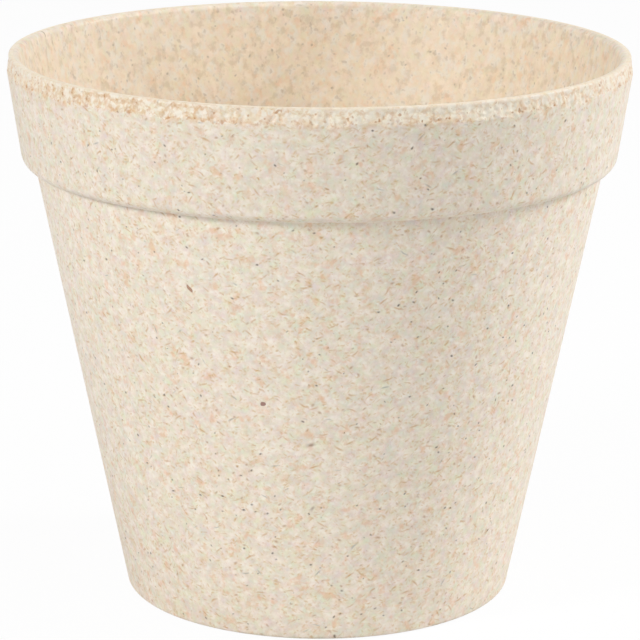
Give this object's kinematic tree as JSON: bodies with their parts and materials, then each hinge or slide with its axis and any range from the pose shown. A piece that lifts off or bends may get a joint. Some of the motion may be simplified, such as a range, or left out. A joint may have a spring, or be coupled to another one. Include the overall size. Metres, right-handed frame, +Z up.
{
  "type": "flower pot",
  "caption": "Round tapered flower pot with a thick collar round its mouth and a drain hole, moulded in one piece from plant fibre.",
  "frame": {"origin": "middle of the foot, on the surface that the pot stands on", "axes": "+Z up along the pot's axis of symmetry, out of its mouth; the pot is round, so +X and +Y are free"},
  "size_m": [0.1, 0.1, 0.0886],
  "materials": {
    "fibre_composite": "moulded plant-fibre composite, matte, cream with tan fibres and dark husk specks"
  },
  "bodies": {
    "root": {"pot_shell": "fibre_composite"}
  },
  "joints": []
}
